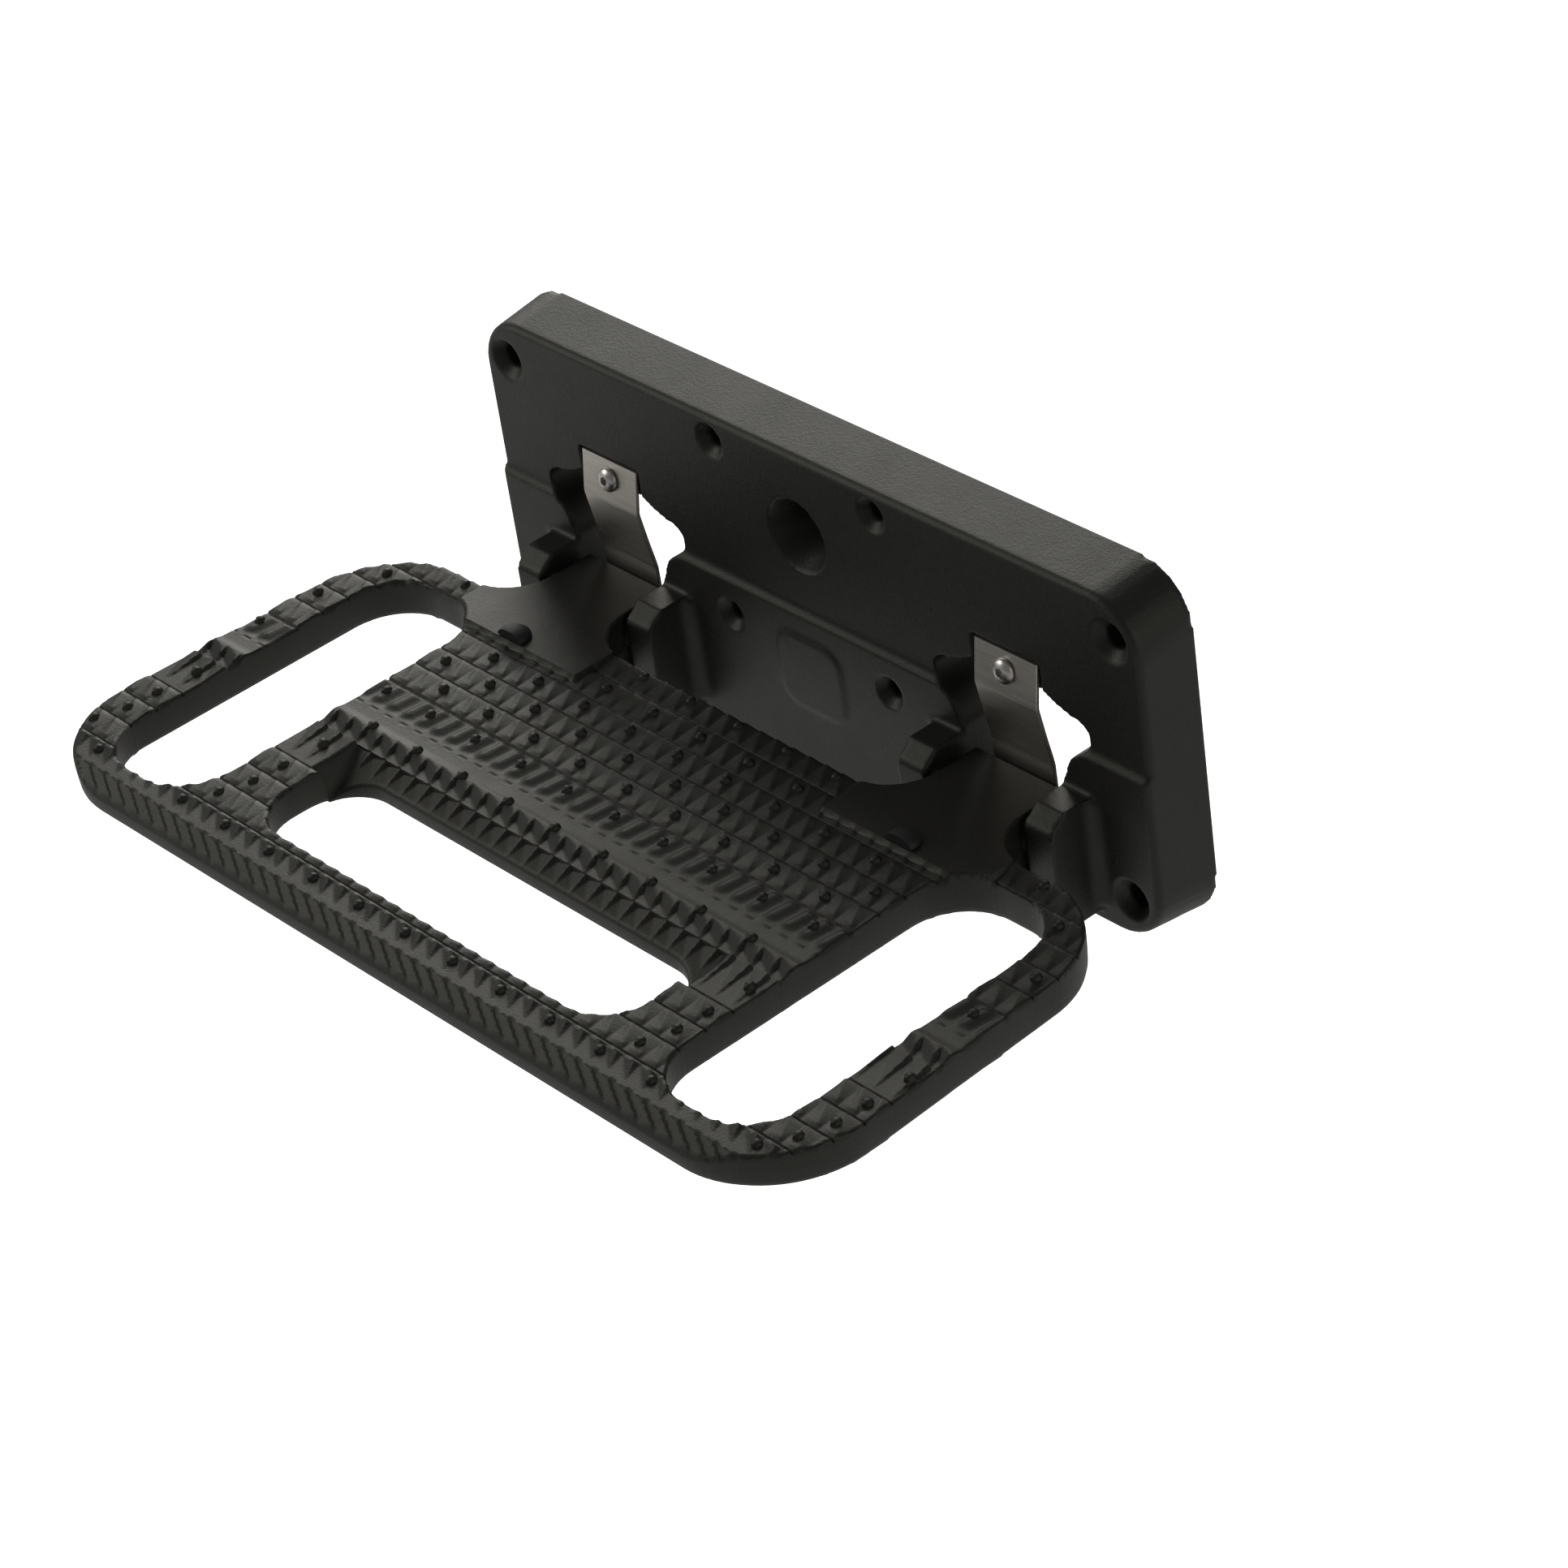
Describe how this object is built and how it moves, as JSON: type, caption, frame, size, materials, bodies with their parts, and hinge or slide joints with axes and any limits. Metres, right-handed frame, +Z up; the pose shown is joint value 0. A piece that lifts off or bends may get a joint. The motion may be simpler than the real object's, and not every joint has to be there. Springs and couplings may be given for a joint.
{
  "type": "tailgate step",
  "caption": "Fold-down step: a slotted metal tread hinged to a rectangular mounting plate, held up by two leaf springs.",
  "frame": {"origin": "the middle of the mounting plate's back face", "axes": "+X to the right seen from the front, -Y to the front where the tread points, +Z up"},
  "size_m": [0.403, 0.2315, 0.142],
  "materials": {
    "plate_coat": "satin black powder coat",
    "tread_coat": "textured black powder coat",
    "spring_steel": "brushed",
    "stainless": "bright",
    "zinc_steel": "zinc plated",
    "bearing_polymer": "plain",
    "nylon": "plain",
    "rubber": "matt"
  },
  "bodies": {
    "plate": {"mount_plate": "plate_coat", "leaf_spring_left": "spring_steel", "leaf_spring_right": "spring_steel", "spring_screw_left": "stainless", "spring_screw_right": "stainless", "hinge_pin_left": "stainless", "hinge_pin_right": "stainless", "spring_washer_left": "zinc_steel", "spring_washer_right": "zinc_steel", "spring_nut_left": "zinc_steel", "spring_nut_right": "zinc_steel", "pin_set_screw_left": "zinc_steel", "pin_set_screw_right": "zinc_steel", "thrust_washer_left_inner": "nylon", "thrust_washer_left_outer": "nylon", "thrust_washer_right_inner": "nylon", "thrust_washer_right_outer": "nylon"},
    "tread": {"tread_plate": "tread_coat", "bumper_left": "rubber", "bumper_right": "rubber", "hinge_bush_left_inner": "bearing_polymer", "hinge_bush_left_outer": "bearing_polymer", "hinge_bush_right_inner": "bearing_polymer", "hinge_bush_right_outer": "bearing_polymer"}
  },
  "joints": [
    {"name": "tread_fold", "type": "hinge", "parent": "plate", "child": "tread", "pos_m": [0, -0.04, -0.0285], "axis": [-1, 0, 0], "range_deg": [0, 90], "deforming": ["leaf_spring_left", "leaf_spring_right"]}
  ]
}
